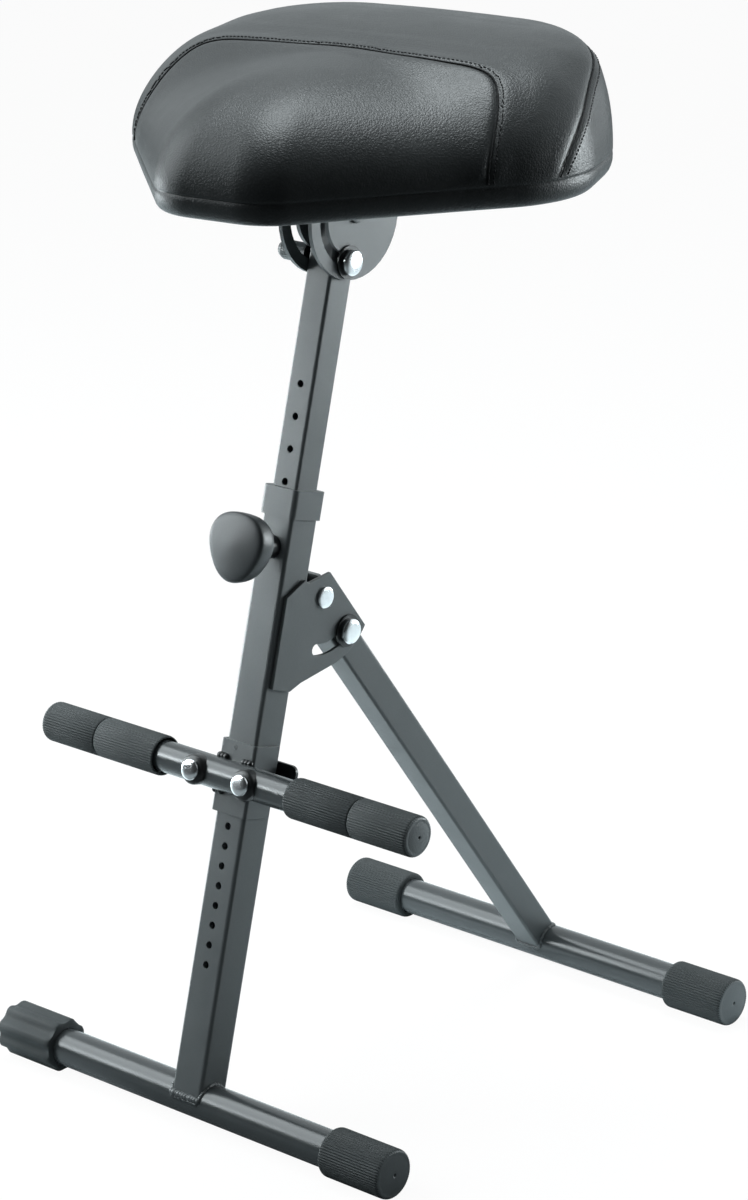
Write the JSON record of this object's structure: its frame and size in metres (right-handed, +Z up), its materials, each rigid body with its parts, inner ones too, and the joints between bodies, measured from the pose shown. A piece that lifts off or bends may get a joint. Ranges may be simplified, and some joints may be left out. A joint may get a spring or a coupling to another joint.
{
  "type": "musician stool",
  "caption": "Folding musician stool with a tilting padded saddle seat, a height-adjustable post, a sliding footrest bar and a rear leg that folds against the column",
  "frame": {"origin": "on the floor under the middle of the base", "axes": "+Z up, the footrest and the seat's nose towards -Y, +X to the sitter's left seen from the front, along the feet"},
  "size_m": [0.4112, 0.4568, 0.8222],
  "materials": {
    "coated_steel": "satin powder coat",
    "chrome": "polished",
    "black_plastic": "matte",
    "ribbed_rubber": "fine lengthwise ribs",
    "seat_board": "dark stained",
    "seat_cover": "grained imitation leather"
  },
  "bodies": {
    "front_frame": {"outer_column": "coated_steel", "front_foot_tube": "coated_steel", "column_collar": "black_plastic", "left_gusset": "coated_steel", "right_gusset": "coated_steel", "fold_pivot_rivet": "chrome", "fold_spacer_left": "black_plastic", "fold_spacer_right": "black_plastic", "lock_bush": "black_plastic", "front_right_cap": "ribbed_rubber"},
    "leveller": {"leveller_cap": "ribbed_rubber"},
    "rear_leg": {"rear_leg_tube": "coated_steel", "rear_foot_tube": "coated_steel", "rear_left_cap": "ribbed_rubber", "rear_right_cap": "ribbed_rubber", "fold_stop_bolt": "chrome", "fold_stop_nut": "chrome", "fold_stop_washer_left": "black_plastic", "fold_stop_washer_right": "black_plastic"},
    "post": {"inner_post": "coated_steel", "tilt_pivot_rivet": "chrome", "tilt_clamp_bolt": "chrome", "tilt_clamp_nut": "chrome", "tilt_clamp_washer_left": "black_plastic", "tilt_clamp_washer_right": "black_plastic"},
    "seat": {"tilt_bracket": "coated_steel", "seat_screw_1": "chrome", "seat_screw_2": "chrome", "seat_screw_3": "chrome", "seat_screw_4": "chrome", "seat_board": "seat_board", "seat_cushion": "seat_cover"},
    "lock_pin": {"lock_pin": "chrome"},
    "lock_knob": {"lock_knob": "black_plastic"},
    "footrest": {"rest_bracket": "coated_steel", "rest_bar": "coated_steel", "rest_grip_left": "ribbed_rubber", "rest_grip_right": "ribbed_rubber", "rest_end_cap_left": "ribbed_rubber", "rest_end_cap_right": "ribbed_rubber", "rest_bolt_left": "chrome", "rest_bolt_right": "chrome", "rest_saddle_left": "black_plastic", "rest_saddle_right": "black_plastic", "clamp_plate": "coated_steel"}
  },
  "joints": [
    {"name": "leg_fold", "type": "hinge", "parent": "front_frame", "child": "rear_leg", "pos_m": [0, -0.07801, 0.39949], "axis": [-1, 0, 0], "range_deg": [0, 51.17]},
    {"name": "post_slide", "type": "slide", "parent": "front_frame", "child": "post", "axis": [0, 0.244, 0.9698], "range_m": [-0.125, 0.175]},
    {"name": "seat_tilt", "type": "hinge", "parent": "post", "child": "seat", "pos_m": [0, -0.03926, 0.69001], "axis": [1, 0, 0], "range_deg": [0, 75.8]},
    {"name": "lock_pull", "type": "slide", "parent": "front_frame", "child": "lock_pin", "axis": [0, -0.9698, 0.244], "range_m": [0, 0.008], "stiffness_N_per_m": 800, "springref_m": -0.004},
    {"name": "knob_turn", "type": "hinge", "parent": "lock_pin", "child": "lock_knob", "pos_m": [0, -0.10166, 0.44194], "axis": [0, -0.9698, 0.244], "continuous": true},
    {"name": "footrest_slide", "type": "slide", "parent": "front_frame", "child": "footrest", "axis": [0, 0.244, 0.9698], "range_m": [-0.141, 0]},
    {"name": "leveller_turn", "type": "hinge", "parent": "front_frame", "child": "leveller", "pos_m": [0, -0.20791, 0.0196], "axis": [1, 0, 0], "continuous": true}
  ]
}
